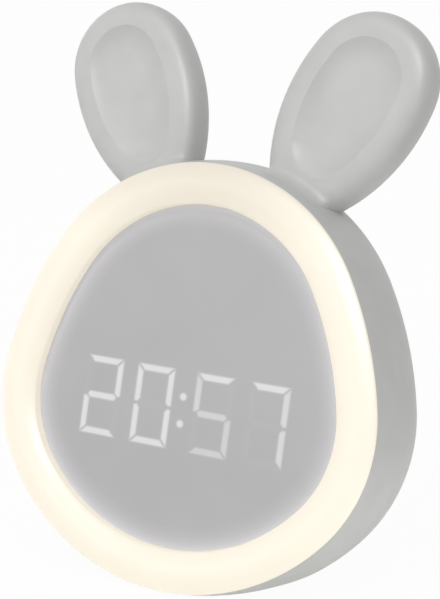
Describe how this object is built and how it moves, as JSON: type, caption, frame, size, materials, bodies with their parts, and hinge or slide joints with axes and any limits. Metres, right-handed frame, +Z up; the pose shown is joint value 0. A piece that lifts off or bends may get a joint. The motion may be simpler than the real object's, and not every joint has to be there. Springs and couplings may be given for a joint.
{
  "type": "alarm clock",
  "caption": "Egg-shaped alarm clock with long ears, a glowing ring as night light round a grey digital face, rear push buttons, slide switch and charging socket.",
  "frame": {"origin": "middle of the base pad's underside, where the clock rests", "axes": "+Z up, -Y out of the face towards the viewer, +X to the viewer's right; the face leans back 16.4 degrees"},
  "size_m": [0.1114, 0.0688, 0.1417],
  "materials": {
    "case_plastic": "fine satin moulding",
    "ring_diffuser": "opal diffuser, lit warm white",
    "tinted_panel": "translucent grey, satin",
    "white_plastic": "white moulding",
    "lit_bar": "lit white light bar",
    "unlit_bar": "unlit light bar",
    "circuit_board": "green solder mask",
    "white_board": "white solder mask",
    "led_package": "yellow phosphor under clear resin",
    "black_plastic": "black moulding",
    "cream_plastic": "cream socket moulding",
    "steel": "plated sheet steel",
    "button_plastic": "satin moulding",
    "magnet": "plated ferrite",
    "cone_film": "formed film",
    "foam": "foam",
    "battery_foil": "laminated foil pouch",
    "lead_insulation": "insulated lead",
    "ribbon": "flat flexible cable",
    "copper": "copper foil",
    "silicone": "soft silicone"
  },
  "bodies": {
    "case": {"front_housing": "case_plastic", "rear_cover": "case_plastic", "ear_back_left": "case_plastic", "ear_back_right": "case_plastic", "light_ring": "ring_diffuser", "display_panel": "tinted_panel", "light_frame": "white_plastic", "display_block": "white_plastic", "lit_bars": "lit_bar", "unlit_bars": "unlit_bar", "colon_dots": "lit_bar", "ring_board": "white_board", "ring_leds": "led_package", "main_board": "circuit_board", "main_chip": "black_plastic", "clock_crystal": "steel", "cell_holder": "black_plastic", "coin_cell": "steel", "board_sockets": "cream_plastic", "rear_board": "circuit_board", "switch_bodies": "black_plastic", "slide_switch": "steel", "usb_shell": "steel", "usb_tongue": "black_plastic", "speaker_basket": "steel", "speaker_cone": "cone_film", "speaker_magnet": "magnet", "speaker_gasket": "foam", "battery": "battery_foil", "battery_tape": "foam", "battery_leads": "lead_insulation", "speaker_leads": "lead_insulation", "ring_lead": "lead_insulation", "ribbon_cable": "ribbon", "touch_plate": "copper", "touch_lead": "lead_insulation", "cover_screws": "steel", "board_screws": "steel", "base_pad": "silicone"},
    "clock_button": {"clock_button": "button_plastic", "clock_plunger": "black_plastic"},
    "alarm_button": {"alarm_button": "button_plastic", "alarm_plunger": "black_plastic"},
    "plus_button": {"plus_button": "button_plastic", "plus_plunger": "black_plastic"},
    "minus_button": {"minus_button": "button_plastic", "minus_plunger": "black_plastic"},
    "slide_grip": {"slide_grip": "button_plastic"}
  },
  "joints": [
    {"name": "clock_press", "type": "slide", "parent": "case", "child": "clock_button", "axis": [0, -0.9593, 0.2823], "range_m": [0, 0.0005], "stiffness_N_per_m": 1500},
    {"name": "alarm_press", "type": "slide", "parent": "case", "child": "alarm_button", "axis": [0, -0.9593, 0.2823], "range_m": [0, 0.0005], "stiffness_N_per_m": 1500},
    {"name": "plus_press", "type": "slide", "parent": "case", "child": "plus_button", "axis": [0, -0.9593, 0.2823], "range_m": [0, 0.0005], "stiffness_N_per_m": 1500},
    {"name": "minus_press", "type": "slide", "parent": "case", "child": "minus_button", "axis": [0, -0.9593, 0.2823], "range_m": [0, 0.0005], "stiffness_N_per_m": 1500},
    {"name": "alarm_slide", "type": "slide", "parent": "case", "child": "slide_grip", "axis": [-1, 0, 0], "range_m": [0, 0.0025]}
  ]
}
